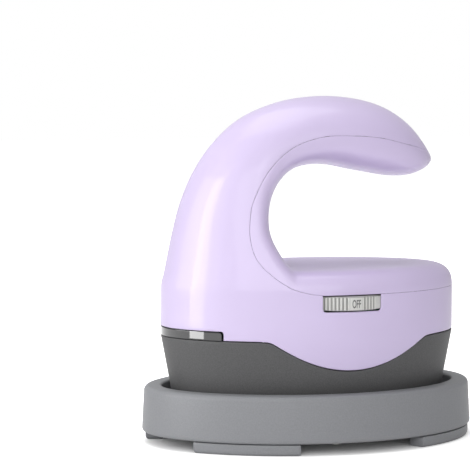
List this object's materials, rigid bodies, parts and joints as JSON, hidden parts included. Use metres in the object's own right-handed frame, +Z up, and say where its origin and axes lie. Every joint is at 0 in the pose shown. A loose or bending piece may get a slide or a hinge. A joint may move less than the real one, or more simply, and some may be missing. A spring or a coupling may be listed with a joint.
{
  "type": "mini handheld heat press",
  "caption": "Small handheld heat press with a C-shaped handle, a temperature dial and an oval heated plate, resting in its oval safety stand.",
  "frame": {"origin": "middle of the stand's footprint, on the surface that the stand's feet rest on", "axes": "+Z up, -X towards the press's nose, where the handle's arch rises, and -Y out of the flank that carries the dial"},
  "size_m": [0.1284, 0.0856, 0.1294],
  "materials": {
    "lilac_plastic": "gloss moulded, lilac",
    "charcoal_plastic": "fine spark texture, charcoal",
    "stand_plastic": "satin, mid grey",
    "silicone": "matt silicone rubber",
    "coated_aluminium": "cast plate with a cream ceramic coating",
    "screw_steel": "zinc plated",
    "silver_plastic": "silver painted, satin",
    "window_plastic": "smoked, high gloss",
    "guide_plastic": "clear",
    "board_laminate": "solder mask, green",
    "black_plastic": "moulded, black",
    "ceramic_fibre": "felted ceramic fibre",
    "ceramic": "fired, unglazed"
  },
  "bodies": {
    "stand": {"stand_tub": "stand_plastic", "stand_base": "stand_plastic", "stand_mat": "silicone", "stand_screw_1": "screw_steel", "stand_screw_2": "screw_steel", "stand_screw_3": "screw_steel", "stand_screw_4": "screw_steel"},
    "press": {"outer_shell": "lilac_plastic", "inner_cover": "lilac_plastic", "skirt": "charcoal_plastic", "soleplate": "coated_aluminium", "heater_element": "screw_steel", "thermal_cutout": "black_plastic", "thermal_fuse": "screw_steel", "temperature_sensor": "ceramic", "heater_insulation": "ceramic_fibre", "heat_shield": "screw_steel", "heater_lead_far": "silicone", "heater_lead_near": "silicone", "status_window": "window_plastic", "light_guide": "guide_plastic", "led_board": "board_laminate", "control_board": "board_laminate", "rotary_switch": "black_plastic", "power_relay": "black_plastic", "terminal_block": "board_laminate", "filter_capacitor": "black_plastic", "cord_inlet": "charcoal_plastic", "cord_clamp": "black_plastic", "sole_screw_1": "screw_steel", "sole_screw_2": "screw_steel", "sole_screw_3": "screw_steel", "sole_screw_4": "screw_steel", "shell_screw_1": "screw_steel", "shell_screw_2": "screw_steel", "shell_screw_3": "screw_steel", "shell_screw_4": "screw_steel", "board_screw_1": "screw_steel", "board_screw_2": "screw_steel", "board_screw_3": "screw_steel", "board_screw_4": "screw_steel", "clamp_screw_1": "screw_steel", "clamp_screw_2": "screw_steel"},
    "dial": {"dial_wheel": "silver_plastic", "dial_shaft": "silver_plastic"}
  },
  "joints": [
    {"name": "press_lift", "type": "slide", "parent": "stand", "child": "press", "axis": [0, 0, 1], "range_m": [0, 0.08]},
    {"name": "dial_turn", "type": "hinge", "parent": "press", "child": "dial", "pos_m": [0.0054, -0.0197, 0.0545], "axis": [0, 0, -1], "range_deg": [0, 105]}
  ]
}
